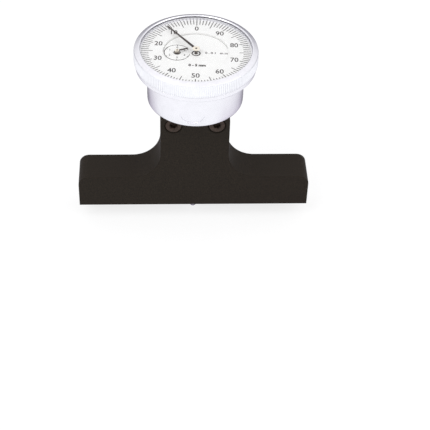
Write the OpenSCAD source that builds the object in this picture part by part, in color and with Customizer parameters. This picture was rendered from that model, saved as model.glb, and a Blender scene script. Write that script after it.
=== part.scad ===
// Dial depth gauge: a back-plunger dial indicator clamped in an inverted-T base.
// The origin is the centre of the measuring face. +X runs along the base, +Y to its back,
// +Z up. The plunger is modelled fully out, below the measuring face.

/* [Base] */
// Length of the measuring face
base_w = 101.5; // [80:0.5:160]
// Thickness of the base, front to back
base_t = 16; // [15:0.5:20]
// Height of the flange, up to the foot of the neck's fillets
flange_h = 16.2; // [12:0.1:18]
// Height of the base
base_h = 50.5; // [47:0.5:60]
// Width of the neck
neck_w = 29.5; // [28:0.5:34]
// Radius of the fillets between the flange and the neck
neck_fillet = 12.5; // [6:0.5:14]
// Radius of the flange's upper corners
flange_corner = 4.5; // [1:0.5:6]
// Radius of the neck's upper corners
neck_corner = 3.2; // [1:0.1:5]
// Diameter of the raised seat on top of the neck
seat_d = 12.9; // [11:0.1:15]
// Height of the raised seat
seat_h = 0.8; // [0.3:0.1:1.5]
// Diameter of the plunger's hole in the measuring face
plunger_hole_d = 6.5; // [6.2:0.1:7.4]

/* [Clamp] */
// Width of the saw cut that splits the neck
slot_w = 1.2; // [0.8:0.1:1.6]
// Depth of the saw cut below the top of the base
slot_depth = 20; // [16:0.5:24]
// Distance of each clamp screw from the middle
screw_x = 9.2; // [8.4:0.1:9.8]
// Height of the clamp screws below the top of the base
screw_drop = 5.6; // [5:0.1:12]
// Thread diameter of the clamp screws
screw_d = 4; // [3:0.5:4]
// Diameter of a clamp screw's head
screw_head_d = 7; // [6:0.1:7.2]
// Height of a clamp screw's head
screw_head_h = 4; // [3:0.1:4.5]
// Width across the flats of the hexagon socket
socket_af = 3; // [2.5:0.5:4]
// Diameter of the counterbores
counterbore_d = 7.5; // [7.4:0.1:7.8]
// Length of a clamp screw below its head
screw_len = 9; // [8:0.5:10]

/* [Stem and plunger] */
// Outer diameter of the stem
stem_d = 8; // [7.8:0.1:8.6]
// Bore of the stem
stem_bore = 6.4; // [6.2:0.1:6.6]
// Height of the stem's lower end above the measuring face
stem_low = 13; // [12.4:0.1:16]
// Diameter of the spindle
spindle_d = 4.5; // [4.3:0.1:4.6]
// Length of the lower guide bush
lower_bush_len = 7; // [4:0.5:10]
// Length of the upper guide bush
upper_bush_len = 6.7; // [5:0.1:9]
// How far the contact ball stands below the measuring face with the plunger out
reach = 7.4; // [5:0.1:7.4]
// Travel of the plunger
stroke = 7.5; // [5:0.1:7.6]
// Diameter of the contact point's barrel
contact_d = 5.5; // [5:0.1:5.8]
// Diameter of the contact ball
ball_d = 3; // [2:0.1:3.2]
// Wire diameter of the return spring
spring_wire = 0.5; // [0.4:0.05:0.6]
// Number of turns of the return spring
spring_turns = 14; // [8:1:16]

/* [Case] */
// Outer radius of the case
case_r = 20.2; // [20:0.1:21]
// Thickness of the case wall
case_wall = 1.5; // [1.2:0.1:1.6]
// Thickness of the case floor
floor_t = 1.5; // [1.2:0.1:2]
// Height of the nut between the base and the case
nut_h = 1.3; // [1:0.1:3]
// Height of the tapered boss under the case
boss_h = 1.6; // [1:0.1:3]
// Radius of the boss where it meets the case
boss_r = 7.8; // [7:0.1:9]
// Height of the rim's edge under the bezel
rim_h = 1.9; // [1.6:0.1:2.4]
// Height of the cone that flares from the case out to the rim
flare_h = 1.3; // [1:0.1:2.5]
// Width of the flat milled on the front of the case
flat_w = 10.6; // [6:0.1:11]
// Direction of the flat, in degrees round from the front of the turned indicator
flat_turn = -1; // [-20:1:20]
// How far the indicator is turned in its clamp, in degrees
head_turn = -4; // [-30:1:30]

/* [Bezel and dial] */
// Outer radius of the bezel over its knurl
bezel_r = 25.6; // [25.5:0.1:26.5]
// Height of the bezel
bezel_h = 6.9; // [6.8:0.1:7.4]
// How far the bezel stands out beyond the case's rim under it
rim_step = 0.6; // [0.4:0.1:1]
// Width of the bezel's top, from its knurl in to the opening for the crystal
bezel_land = 2.7; // [2.5:0.1:3.4]
// Number of ridges in the knurl
knurl_count = 180; // [120:10:240]
// Depth of the knurl
knurl_depth = 0.22; // [0.1:0.01:0.3]
// Thickness of the crystal
crystal_t = 0.7; // [0.5:0.1:0.8]
// Height of the crystal's raised middle above the top of the bezel
crystal_rise = 0.6; // [0.5:0.1:1]
// Thickness of the dial
dial_t = 0.8; // [0.6:0.1:0.9]
// Depth of the dial's face below the top of the bezel
dial_depth = 2.2; // [2.1:0.1:2.6]
// Radius of the fixed disc in the middle of the dial
dial_centre_r = 13.65; // [13.4:0.05:14.5]
// Depth of the fixed disc's face below the turning dial's
centre_drop = 0.8; // [0.3:0.1:0.9]

/* [Hands] */
// Distance from the main hand's tip to the edge of the bezel's opening
hand_inset = 2.7; // [1.5:0.1:6]
// Direction of the main hand, anticlockwise from the dial's top
main_hand_turn = 39; // [0:1:359]
// Length of the counter hand from its axis
small_hand_len = 4.9; // [3:0.1:5.2]
// Direction of the counter hand, anticlockwise from the dial's top
small_hand_turn = -65; // [-180:1:180]
// Distance of the counter hand from the middle of the dial
counter_x = 7.8; // [7.6:0.1:8]

/* [Gear train] */
// Pitch of the rack and its pinion, along the pitch line
rack_pitch = 1; // [0.9:0.02:1.02]
// Teeth of the rack pinion: one turn of it is one pitch times these
rack_teeth = 15; // [13:1:15]
// Depth of the rack's pitch line in the side of the spindle
rack_depth = 0.3; // [0.26:0.01:0.4]
// Gap between the intermediate gear and the wall of the case
train_gap = 0.94; // [0.5:0.01:2]
// Distance between the movement's two plates
plates_gap = 4; // [4:0.1:6]
// Teeth of the crown gear
crown_teeth = 36; // [30:1:36]
// Teeth of the pinion that the crown gear drives
drive_teeth = 12; // [10:1:14]
// Teeth of the large intermediate gear
big_teeth = 80; // [70:1:82]
// Teeth of the centre pinion, which carries the main hand
centre_teeth = 16; // [14:1:18]
// Teeth of the pinion that drives the counter gear
counter_drive_teeth = 40; // [36:1:42]
// Teeth of the counter gear
counter_teeth = 48; // [44:1:50]
// Turns of the hairspring
hairspring_turns = 4; // [3:1:4]

/* [Hidden] */
$fn = 96;
seat_gap = 0.02;          // between parts fixed in each other, on the radius
run_gap = 0.05;           // between parts that turn or slide in each other, on the radius
free_gap = 0.3;           // between parts that must never touch
stop_gap = 0.05;          // the plunger's collar above its stop
flange_gap = 0.1;         // under the bezel
knurl_end = 0.8;          // plain edge above the knurl

// Heights, from the measuring face up
seat_z = base_h + seat_h;
boss_z = seat_z + nut_h;
case_z = boss_z + boss_h;
floor_z = case_z + floor_t;

// Radii inside the bezel and the case
cavity_r = case_r - case_wall;
cutter_r = flat_w / 2 + 0.4; // of the cutter that milled the flat
rim_r = bezel_r - rim_step;
window_r = bezel_r - bezel_land;
spigot_r = rim_r - 0.9;
spigot_in_r = spigot_r - 1.1;
bezel_bore_r = spigot_r + run_gap;
groove_r = bezel_bore_r + 0.5;
insert_r = bezel_bore_r - seat_gap;

// The stem's flange and the plunger
stem_flange_r = 4.9;
stem_flange_t = 1;
stem_top = floor_z + stem_flange_t;
upper_bush_z = stem_top - upper_bush_len;
lower_bush_top = stem_low + lower_bush_len;
collar_z = lower_bush_top + stop_gap;
collar_h = 2;
contact_top = stem_low - stroke - 1.1;
thread_r = 1.25;
thread_len = 5;
spring_r = (stem_bore - spring_wire) / 2 - 0.1;

// Gear proportions, as shares of the pitch or of the module. The module of the train from the
// crown gear to the main hand lets the intermediate gear fill the case, but for train_gap.
tooth_root = 0.30;
tooth_tip = 0.12;
addendum = 0.8;
dedendum = 1.2;
function pitch_r(m, n) = m * n / 2;
rack_module = rack_pitch / PI;
rack_add = addendum * rack_module;
rack_ded = dedendum * rack_module;
rack_pinion_r = pitch_r(rack_module, rack_teeth);
fine_module = (cavity_r - train_gap) / (big_teeth + centre_teeth / 2 + addendum);
crown_r = pitch_r(fine_module, crown_teeth);
drive_r = pitch_r(fine_module, drive_teeth);
big_r = pitch_r(fine_module, big_teeth);
centre_r = pitch_r(fine_module, centre_teeth);

// Where the arbors stand: the intermediate arbor is above the rack pinion, which meets the
// rack, and its gear reaches the centre pinion. The counter's pair spans what is left.
centre_dist = big_r + centre_r;
rack_line_x = rack_depth - spindle_d / 2;
inter_x = rack_line_x - rack_pinion_r;
inter_y = -sqrt(centre_dist ^ 2 - inter_x ^ 2);
counter_dist = sqrt((counter_x + inter_x) ^ 2 + inter_y ^ 2);
counter_module = 2 * counter_dist / (counter_drive_teeth + counter_teeth);
rack_arbor_z = floor_z + crown_r + 0.4 + free_gap;
crown_y = inter_y + drive_r;
spindle_top = rack_arbor_z + 1.6 * rack_pitch;
to_centre = atan2(-inter_y, -inter_x);
to_counter = atan2(-inter_y, -counter_x - inter_x);

// Movement plates, above the highest that the spindle comes, and what is between them
plate_t = 1;
lower_plate_z = spindle_top + stroke + 0.4;
gears_z = lower_plate_z + plate_t;
upper_plate_z = gears_z + plates_gap;
upper_plate_top = upper_plate_z + plate_t;
plate_r = cavity_r - 0.2;
post_r = 1.5;
post_ring_r = cavity_r - post_r - 1.2;
post_turn = 70;
post_thread = 3;
plate_screw_r = 0.8;
plate_head_h = 0.7;
arbor_r = 0.6;
pivot_r = 0.35;
centre_pinion_z = gears_z + 0.5;
big_gear_z = gears_z + 0.8;
big_gear_t = 0.6;
counter_level = gears_z + 2.1;
counter_gear_t = 0.5;
hairspring_z = upper_plate_z - 0.85;
hairspring_w = 0.4;
strip_t = 0.12;
collet_r = 1;
stud_r = 0.3;

// The dial lies on the movement, and the bezel and the case's rim go round the dial
centre_low = upper_plate_top + 0.5;
centre_z = centre_low + dial_t;
dial_z = centre_z + centre_drop;
dial_low = dial_z - dial_t;
top_z = dial_z + dial_depth;
lip_t = 0.3;
crystal_z = top_z - lip_t - crystal_t;
bezel_z = top_z - bezel_h;
ledge_z = bezel_z - flange_gap;
rim_z = ledge_z - rim_h;
flare_z = rim_z - flare_h;
spigot_top = dial_low - 1.1;
ring_low = bezel_z + 0.7;
ring_h = 0.7;

// Hands
small_hand_z = centre_z + 0.9;
main_hand_z = dial_z + 1.3;
main_hand_len = window_r - hand_inset;
hand_t = 0.2;
hub_cap_t = 0.25;
main_hub_r = 1.5;
main_hole_r = main_hub_r + 0.25;
small_hub_r = 0.85;
small_hole_r = small_hub_r + 0.4;

// Bracket of the rack arbor
cheek_y = 1.5;
cheek_t = 1.2;
rack_pinion_w = 2.6;
bracket_foot_y = 4.3;
bracket_back = inter_x - rack_pinion_r - rack_add - 0.5;
bracket_foot_len = 5;
bracket_foot_t = 1;
bracket_screw_back = 3.4;
bracket_screw_y = 2.6;
cheek_end = cheek_y + cheek_t;
guide_pin_z = stem_top + 1.7;
guide_pin_r = 0.5;
rail_x = 3.4;
rail_w = 3.6;
rail_t = 3;
rail_foot_len = 4.2;
rail_screw_x = stem_flange_r + free_gap + 3;
rail_low = stem_top + free_gap;
rail_top = guide_pin_z + stroke + 1.8;

// ---------- Helpers ----------

module at_z(z) translate([0, 0, z]) children();
module both_sides() for (s = [0, 1]) mirror([s, 0, 0]) children();
module in_head() rotate([0, 0, head_turn]) children();
module at_intermediate() in_head() translate([inter_x, inter_y, 0]) children();
module at_counter() in_head() translate([-counter_x, 0, 0]) children();
// Turns a shape drawn along +Z so that it runs along +Y
module along_y() rotate([-90, 0, 0]) children();

// A tube or, with no inner radius, a rod
module tube(outer, inner, z0, z1) {
  difference() {
    at_z(z0) cylinder(r = outer, h = z1 - z0);
    if (inner > 0) at_z(z0 - 1) cylinder(r = inner, h = z1 - z0 + 2);
  }
}

function polar(r, a) = [r * cos(a), r * sin(a)];

// A gear's outline with straight-sided teeth. The tooth at angle phase is on its axis.
function gear_outline(m, n, phase) = [
  for (i = [0:n - 1])
    let (pitch = 360 / n, a = phase + i * pitch, root = m * (n / 2 - dedendum), tip = m * (n / 2 + addendum))
      each [polar(root, a - tooth_root * pitch), polar(tip, a - tooth_tip * pitch),
            polar(tip, a + tooth_tip * pitch), polar(root, a + tooth_root * pitch)]];

// A gear on a bore. With gap true, a gap and not a tooth lies at angle phase.
module gear(m, n, bore_r, h, phase, gap = false) {
  linear_extrude(h) difference() {
    polygon(gear_outline(m, n, phase + (gap ? 180 / n : 0)));
    circle(bore_r);
  }
}

module countersunk_ring(outer, inner, z0, z1, gap_angle) {
  difference() {
    tube(outer, inner, z0, z1);
    at_z(z0 - 1) linear_extrude(z1 - z0 + 2)
      polygon([[0, 0], polar(2 * outer, 90 - gap_angle / 2), polar(2 * outer, 90 + gap_angle / 2)]);
  }
}

// ---------- Base and clamp ----------

// A bar that stands on Y = 0, with its upper corners rounded
module rounded_bar(w, h, r) {
  translate([-w / 2, 0]) square([w, h - r]);
  translate([r - w / 2, 0]) square([w - 2 * r, h]);
  both_sides() translate([w / 2 - r, h - r]) circle(r);
}

module base_outline() {
  rounded_bar(base_w, flange_h, flange_corner);
  rounded_bar(neck_w, base_h, neck_corner);
  both_sides() translate([neck_w / 2, flange_h]) difference() {
    translate([-1, -1]) square(neck_fillet + 1);
    translate([neck_fillet, neck_fillet]) circle(neck_fillet);
  }
}

module at_clamp_screws() {
  both_sides() translate([screw_x, -base_t / 2, base_h - screw_drop]) along_y() children();
}

module base_plate() color([0.24, 0.22, 0.20]) difference() {
  union() {
    translate([0, base_t / 2, 0]) rotate([90, 0, 0]) linear_extrude(base_t) base_outline();
    tube(seat_d / 2, 0, base_h - 1, seat_z);
  }
  at_z(stem_low) cylinder(r = stem_d / 2 + seat_gap, h = base_h);
  at_z(-1) cylinder(d = plunger_hole_d, h = stem_low + 2);
  translate([-neck_w, -slot_w / 2, base_h - slot_depth]) cube([2 * neck_w, slot_w, slot_depth + 5]);
  at_clamp_screws() {
    at_z(-1) cylinder(d = counterbore_d, h = screw_head_h + 1.2);
    cylinder(r = screw_d / 2 + 0.15, h = base_t / 2);
    cylinder(r = screw_d / 2 + seat_gap, h = screw_head_h + screw_len + 1);
  }
}

module clamp_screws() color([0.20, 0.20, 0.21]) at_clamp_screws() at_z(0.2) difference() {
  union() {
    cylinder(d = screw_head_d, h = screw_head_h);
    cylinder(d = screw_d, h = screw_head_h + screw_len);
  }
  at_z(-1) cylinder(d = socket_af / cos(30), h = 1 + screw_head_h / 2, $fn = 6);
}

// ---------- Stem ----------

module stem() color([0.70, 0.70, 0.72]) {
  difference() {
    union() {
      tube(stem_d / 2, 0, stem_low, stem_top);
      tube(stem_flange_r, 0, floor_z, stem_top);
    }
    tube(stem_bore / 2, 0, stem_low - 1, stem_top + 1);
  }
}

module stem_nut() color([0.82, 0.82, 0.84]) tube(seat_d / 2, stem_d / 2 + seat_gap, seat_z, boss_z);

module guide_bush(z0, z1) tube(stem_bore / 2 - seat_gap, spindle_d / 2 + run_gap, z0, z1);
module upper_bush() color([0.72, 0.52, 0.28]) guide_bush(upper_bush_z, stem_top);
module lower_bush() color([0.72, 0.52, 0.28]) guide_bush(stem_low, lower_bush_top);

// ---------- Case ----------

module case_profile() {
  edge = 0.8;
  polygon([
    [stem_d / 2 + seat_gap, boss_z], [seat_d / 2, boss_z], [boss_r, case_z],
    [case_r - edge, case_z], [case_r, case_z + edge], [case_r, flare_z], [rim_r, rim_z],
    [rim_r, ledge_z], [spigot_r, ledge_z], [spigot_r, spigot_top], [spigot_in_r, spigot_top],
    [spigot_in_r, rim_z + 0.5], [cavity_r, rim_z + 0.5], [cavity_r, floor_z],
    [stem_d / 2 + seat_gap, floor_z]]);
}

module case() color([0.80, 0.80, 0.83]) in_head() difference() {
  rotate_extrude() case_profile();
  tube(spigot_r + 1, spigot_r - 0.6, ring_low - 0.05, ring_low + ring_h + 0.05);
  rotate([0, 0, flat_turn]) translate([0, -sqrt(case_r ^ 2 - (flat_w / 2) ^ 2), case_z + 1])
    rotate([90, 0, 0]) linear_extrude(2) {
      translate([0, cutter_r]) circle(cutter_r);
      translate([-cutter_r, cutter_r]) square([2 * cutter_r, flare_z - case_z - cutter_r - 1]);
    }
}

// ---------- Movement frame ----------

module at_posts() in_head() for (i = [0:2]) rotate([0, 0, post_turn + 120 * i])
  translate([post_ring_r, 0, 0]) children();

module movement_posts() color([0.75, 0.62, 0.35]) at_posts() difference() {
  tube(post_r, 0, floor_z, lower_plate_z);
  tube(plate_screw_r + seat_gap, 0, lower_plate_z - post_thread - 0.2, lower_plate_z + 1);
}

module plate_pillars() color([0.75, 0.62, 0.35]) at_posts()
  tube(post_r, plate_screw_r + seat_gap, gears_z, upper_plate_z);

module plate_screws() color([0.55, 0.56, 0.60]) at_posts() difference() {
  union() {
    tube(post_r, 0, upper_plate_top - plate_head_h, upper_plate_top);
    tube(plate_screw_r, 0, lower_plate_z - post_thread, upper_plate_top);
  }
  translate([-post_r - 1, -0.2, upper_plate_top - 0.3]) cube([2 * post_r + 2, 0.4, 1]);
}

module lower_plate() color([0.78, 0.66, 0.38]) difference() {
  tube(plate_r, 0, lower_plate_z, gears_z);
  at_z(lower_plate_z - 1) {
    cylinder(r = pivot_r + run_gap, h = plate_t + 2);
    at_posts() cylinder(r = plate_screw_r + seat_gap, h = plate_t + 2);
    at_intermediate() cylinder(r = arbor_r + 0.7 + seat_gap, h = plate_t + 2);
    at_counter() cylinder(r = pivot_r + run_gap, h = plate_t + 2);
  }
}

module upper_plate() color([0.78, 0.66, 0.38]) difference() {
  tube(plate_r, 0, upper_plate_z, upper_plate_top);
  at_z(upper_plate_z - 1) {
    cylinder(r = arbor_r + run_gap, h = plate_t + 2);
    at_posts() cylinder(r = plate_screw_r + seat_gap, h = plate_t + 2);
    at_intermediate() cylinder(r = pivot_r + run_gap, h = plate_t + 2);
    at_counter() cylinder(r = arbor_r + run_gap, h = plate_t + 2);
  }
  at_posts() at_z(upper_plate_top - plate_head_h) cylinder(r = post_r + seat_gap, h = 2);
}

module arbor_bush() color([0.72, 0.52, 0.28]) at_intermediate()
  tube(arbor_r + 0.7, arbor_r + run_gap, rack_arbor_z + crown_r + 1.15, gears_z);

module at_bracket_screws() in_head() for (s = [-1, 1])
  translate([bracket_back - bracket_screw_back, s * bracket_screw_y, 0]) children();
module at_rail_screw() in_head() translate([rail_screw_x, 0, 0]) children();

module pinion_bracket() color([0.70, 0.70, 0.72]) difference() {
  in_head() {
    top = rack_arbor_z + 2.2;
    translate([bracket_back - bracket_foot_len, -bracket_foot_y, floor_z])
      cube([bracket_foot_len, 2 * bracket_foot_y, bracket_foot_t]);
    translate([bracket_back - cheek_t, -bracket_foot_y, floor_z])
      cube([cheek_t, 2 * bracket_foot_y, top - floor_z]);
    for (y = [-cheek_end, cheek_y])
      translate([bracket_back - cheek_t, y, stem_top + free_gap])
        cube([inter_x + 1.6 - bracket_back + cheek_t, cheek_t, top - stem_top - free_gap]);
  }
  at_bracket_screws() at_z(floor_z - 1) cylinder(r = plate_screw_r + seat_gap, h = bracket_foot_t + 2);
  at_rack_arbor(-cheek_end - 1) cylinder(r = arbor_r + run_gap, h = 2 * cheek_end + 2);
}

module guide_rail() color([0.70, 0.70, 0.72]) difference() {
  in_head() {
    translate([rail_x, -rail_w / 2, rail_low]) cube([rail_t, rail_w, rail_top - rail_low]);
    translate([stem_flange_r + free_gap, -rail_w / 2, floor_z])
      cube([rail_foot_len, rail_w, rail_low - floor_z]);
  }
  in_head() translate([rail_x - 1, -guide_pin_r - run_gap, stem_top])
    cube([rail_t, 2 * (guide_pin_r + run_gap), rail_top - stem_top + 1]);
  at_rail_screw() at_z(floor_z - 1) cylinder(r = plate_screw_r + seat_gap, h = rail_low - floor_z + 2);
}

module small_screw(seat) {
  difference() {
    union() {
      tube(1.4, 0, seat, seat + 0.9);
      tube(plate_screw_r, 0, floor_z, seat + 0.9);
    }
    translate([-2, -0.2, seat + 0.6]) cube([4, 0.4, 1]);
  }
}

module bracket_screws() color([0.55, 0.56, 0.60]) {
  at_bracket_screws() small_screw(floor_z + bracket_foot_t);
  at_rail_screw() small_screw(rail_low);
}

// ---------- Bezel, crystal and dial ----------

module bezel_retaining_ring() color([0.55, 0.56, 0.60]) in_head()
  countersunk_ring(groove_r - 0.1, spigot_r - 0.55, ring_low, ring_low + ring_h, 24);

module bezel_profile() {
  edge = 0.7;
  polygon([
    [bezel_bore_r, bezel_z], [bezel_r - knurl_depth - 0.2, bezel_z], [bezel_r - knurl_depth, bezel_z + 0.3],
    [bezel_r - knurl_depth, top_z - edge], [bezel_r - knurl_depth - edge, top_z],
    [window_r + 0.5, top_z], [window_r, top_z - lip_t], [bezel_bore_r, top_z - lip_t],
    [bezel_bore_r, dial_low], [groove_r, dial_low], [groove_r, dial_low - 0.7],
    [bezel_bore_r, dial_low - 0.7], [bezel_bore_r, ring_low + ring_h + 0.1],
    [groove_r, ring_low + ring_h + 0.1], [groove_r, ring_low - 0.1], [bezel_bore_r, ring_low - 0.1]]);
}

// Pointed ridges, cut square at their ends
module knurl() {
  step = 360 / knurl_count;
  linear_extrude(bezel_h - knurl_end - 0.4) difference() {
    polygon([for (i = [0:knurl_count - 1]) each [
      polar(bezel_r - knurl_depth, (i - 0.5) * step), polar(bezel_r, (i - 0.15) * step),
      polar(bezel_r, (i + 0.15) * step)]]);
    circle(bezel_r - knurl_depth - 0.2);
  }
}

module bezel() color([0.82, 0.82, 0.85]) in_head() {
  rotate_extrude() bezel_profile();
  at_z(bezel_z + 0.4) knurl();
}

// A flange held under the bezel's lip, with a raised middle that stands clear of the hands
module crystal() color([0.85, 0.92, 0.95, 0.3]) {
  high = top_z + crystal_rise;
  outer = window_r - run_gap;
  edge = 0.3;
  rotate_extrude() polygon([
    [outer - crystal_t, crystal_z], [insert_r, crystal_z], [insert_r, crystal_z + crystal_t],
    [outer, crystal_z + crystal_t], [outer, high - edge], [outer - edge, high], [0, high],
    [0, high - crystal_t], [outer - crystal_t, high - crystal_t]]);
}
module crystal_spacer() color([0.86, 0.86, 0.90]) tube(insert_r, window_r, dial_z, crystal_z);
module dial_ring() color([0.96, 0.96, 0.94]) tube(insert_r, dial_centre_r + 0.1, dial_low, dial_z);
module dial_clip() color([0.55, 0.56, 0.60]) in_head()
  countersunk_ring(groove_r - seat_gap, insert_r - 0.9, dial_low - 0.65, dial_low, 24);

module dial_centre() color([0.96, 0.96, 0.94]) difference() {
  union() {
    tube(dial_centre_r, 0, centre_low, centre_z);
    in_head() for (i = [0:2]) rotate([0, 0, post_turn + 60 + 120 * i]) translate([dial_centre_r - 2, 0, 0])
      tube(0.8, 0, upper_plate_top, centre_z);
  }
  at_z(centre_low - 1) {
    cylinder(r = main_hole_r, h = dial_t + 2);
    at_counter() cylinder(r = small_hole_r, h = dial_t + 2);
  }
}

// ---------- Plunger ----------

// The rack's gaps, cut into the spindle's side that faces the rack pinion
module rack_gaps() {
  low = floor(-(stroke + 1.2) / rack_pitch);
  for (k = [low:1]) translate([rack_line_x, 0, rack_arbor_z + k * rack_pitch])
    rotate([90, 0, 0]) translate([0, 0, -spindle_d]) linear_extrude(2 * spindle_d) polygon([
      [-rack_add - 1, -rack_pitch * (0.5 - tooth_tip)], [-rack_add, -rack_pitch * (0.5 - tooth_tip)],
      [rack_ded, -rack_pitch * (0.5 - tooth_root)], [rack_ded, rack_pitch * (0.5 - tooth_root)],
      [-rack_add, rack_pitch * (0.5 - tooth_tip)], [-rack_add - 1, rack_pitch * (0.5 - tooth_tip)]]);
}

module spindle() color([0.68, 0.68, 0.71]) in_head() difference() {
  tube(spindle_d / 2, 0, contact_top, spindle_top);
  tube(thread_r + seat_gap, 0, contact_top - 1, contact_top + thread_len + 0.2);
  translate([rack_line_x - rack_add - 5, -5, rack_arbor_z - stroke - 2]) cube([5, 10, stroke + 10]);
  rack_gaps();
  translate([0.3, 0, guide_pin_z]) rotate([0, 90, 0]) cylinder(r = guide_pin_r + seat_gap, h = 5);
}

module guide_pin() color([0.60, 0.60, 0.63]) in_head() translate([0.35, 0, guide_pin_z])
  rotate([0, 90, 0]) cylinder(r = guide_pin_r, h = rail_x + 1.7 - 0.35);

module spring_collar() color([0.60, 0.60, 0.63])
  tube(stem_bore / 2 - 0.1, spindle_d / 2 + seat_gap, collar_z, collar_z + collar_h);

module contact_point() color([0.78, 0.78, 0.80]) difference() {
  union() {
    rotate_extrude() polygon([
      [0, contact_top], [contact_d / 2, contact_top], [contact_d / 2, 4.2 - reach],
      [0.43 * contact_d, 2.3 - reach], [ball_d / 2 - 0.03, 1.1 - reach], [0, 1.1 - reach]]);
    tube(thread_r, 0, contact_top, contact_top + thread_len);
  }
  at_z(ball_d / 2 - reach) sphere(r = ball_d / 2 + 0.01);
}

module contact_ball() color([0.85, 0.85, 0.87]) at_z(ball_d / 2 - reach) sphere(r = ball_d / 2);

// A round wire wound on a helix, as one polyhedron of six-sided rings
module coil(r, wire, turns, length) {
  per_turn = 16;
  sides = 6;
  rings = turns * per_turn;
  slope = atan(length / (turns * 2 * PI * r));
  points = [for (i = [0:rings], j = [0:sides - 1])
    let (a = 360 * i / per_turn, b = 360 * j / sides, out = r + wire / 2 * cos(b), up = wire / 2 * sin(b))
      [out * cos(a) + up * sin(slope) * sin(a), out * sin(a) - up * sin(slope) * cos(a),
       length * i / rings + up * cos(slope)]];
  faces = concat(
    [[for (j = [0:sides - 1]) j]],
    [for (i = [0:rings - 1], j = [0:sides - 1]) let (k = (j + 1) % sides)
      each [[i * sides + j, (i + 1) * sides + j, (i + 1) * sides + k],
            [i * sides + j, (i + 1) * sides + k, i * sides + k]]],
    [[for (j = [sides - 1:-1:0]) rings * sides + j]]);
  polyhedron(points, faces);
}

module return_spring() color([0.45, 0.46, 0.50]) {
  low = collar_z + collar_h + spring_wire / 2 + 0.02;
  high = upper_bush_z - spring_wire / 2 - 0.02;
  at_z(low) coil(spring_r, spring_wire, spring_turns, high - low);
}

// ---------- Gear train ----------

module at_rack_arbor(y) in_head() translate([inter_x, y, rack_arbor_z]) along_y() children();

module rack_arbor() color([0.62, 0.62, 0.66]) at_rack_arbor(crown_y + 0.3)
  cylinder(r = arbor_r, h = cheek_y + cheek_t + 0.3 - crown_y - 0.3);

// Seen along +Y from here, the angle 0 tooth points at the spindle
module rack_pinion() color([0.74, 0.60, 0.32]) at_rack_arbor(-rack_pinion_w / 2)
  gear(rack_module, rack_teeth, arbor_r + seat_gap, rack_pinion_w, 0);

// A crown gear: its teeth stand on the face that looks along -Y
module crown_gear() color([0.74, 0.60, 0.32]) {
  pitch = PI * fine_module;
  tip = addendum * fine_module;
  root = dedendum * fine_module;
  disc_r = crown_r + 0.4;
  difference() {
    union() {
      at_rack_arbor(crown_y + root) cylinder(r = disc_r, h = 0.8);
      at_rack_arbor(crown_y + root) cylinder(r = 1.4, h = -cheek_y - cheek_t - 0.2 - crown_y - root);
      in_head() translate([inter_x, crown_y, rack_arbor_z]) for (i = [0:crown_teeth - 1])
        rotate([0, i * 360 / crown_teeth, 0]) at_z(crown_r - 0.4) linear_extrude(0.78) polygon([
          [-tooth_root * pitch, root + 0.1], [-tooth_root * pitch, root], [-tooth_tip * pitch, -tip],
          [tooth_tip * pitch, -tip], [tooth_root * pitch, root], [tooth_root * pitch, root + 0.1]]);
    }
    at_rack_arbor(crown_y - 1) cylinder(r = arbor_r + seat_gap, h = 8);
  }
}

module intermediate_arbor() color([0.62, 0.62, 0.66]) at_intermediate() {
  tube(arbor_r, 0, rack_arbor_z + crown_r - 1.2, upper_plate_z - 0.1);
  tube(pivot_r, 0, upper_plate_z - 0.2, upper_plate_top - 0.2);
}

module drive_pinion() color([0.62, 0.62, 0.66]) at_intermediate() at_z(rack_arbor_z + crown_r - 1)
  gear(fine_module, drive_teeth, arbor_r + seat_gap, 2, 90, gap = true);

module intermediate_gear() color([0.74, 0.60, 0.32]) at_intermediate() {
  at_z(big_gear_z) gear(fine_module, big_teeth, arbor_r + seat_gap, big_gear_t, to_centre);
  tube(1.4, arbor_r + seat_gap, gears_z + 0.15, big_gear_z);
}

module counter_pinion() color([0.74, 0.60, 0.32]) at_intermediate() at_z(counter_level)
  gear(counter_module, counter_drive_teeth, arbor_r + seat_gap, 0.9, to_counter);

module centre_arbor() color([0.62, 0.62, 0.66]) {
  tube(arbor_r, 0, gears_z + 0.1, dial_z + 0.2);
  tube(pivot_r, 0, lower_plate_z + 0.2, gears_z + 0.2);
  tube(0.45, 0, dial_z, main_hand_z + hand_t + hub_cap_t);
}

module centre_pinion() color([0.62, 0.62, 0.66]) in_head() at_z(centre_pinion_z)
  gear(fine_module, centre_teeth, arbor_r + seat_gap, 1.3, to_centre + 180, gap = true);

module counter_arbor() color([0.62, 0.62, 0.66]) at_counter() {
  tube(0.5, 0, gears_z + 0.1, centre_z + 0.1);
  tube(pivot_r, 0, lower_plate_z + 0.2, gears_z + 0.2);
  tube(0.35, 0, centre_z, small_hand_z + hand_t + 0.2);
}

module counter_gear() color([0.74, 0.60, 0.32]) at_counter() at_z(counter_level + 0.2)
  gear(counter_module, counter_teeth, 0.5 + seat_gap, counter_gear_t, to_counter + 180, gap = true);

module hairspring_collet() color([0.74, 0.60, 0.32]) at_counter()
  tube(collet_r, 0.5 + seat_gap, hairspring_z - 0.15, hairspring_z + hairspring_w + 0.15);

// Where the hairspring's strip starts and ends, at its middle
hairspring_in = collet_r + strip_t / 2;
hairspring_out = hairspring_in + 0.68 * hairspring_turns;

// A point of the strip's outer side (1) or inner side (-1), a share of the way along it
function on_strip(share, side) = polar(
  hairspring_in + (hairspring_out - hairspring_in) * share + side * strip_t / 2,
  360 * hairspring_turns * share);

// A flat spiral strip from the collet out to the stud
module hairspring() color([0.50, 0.52, 0.60]) at_counter() at_z(hairspring_z) {
  steps = 24 * hairspring_turns;
  linear_extrude(hairspring_w) polygon(concat(
    [for (i = [0:steps]) on_strip(i / steps, 1)],
    [for (i = [steps:-1:0]) on_strip(i / steps, -1)]));
}

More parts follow.
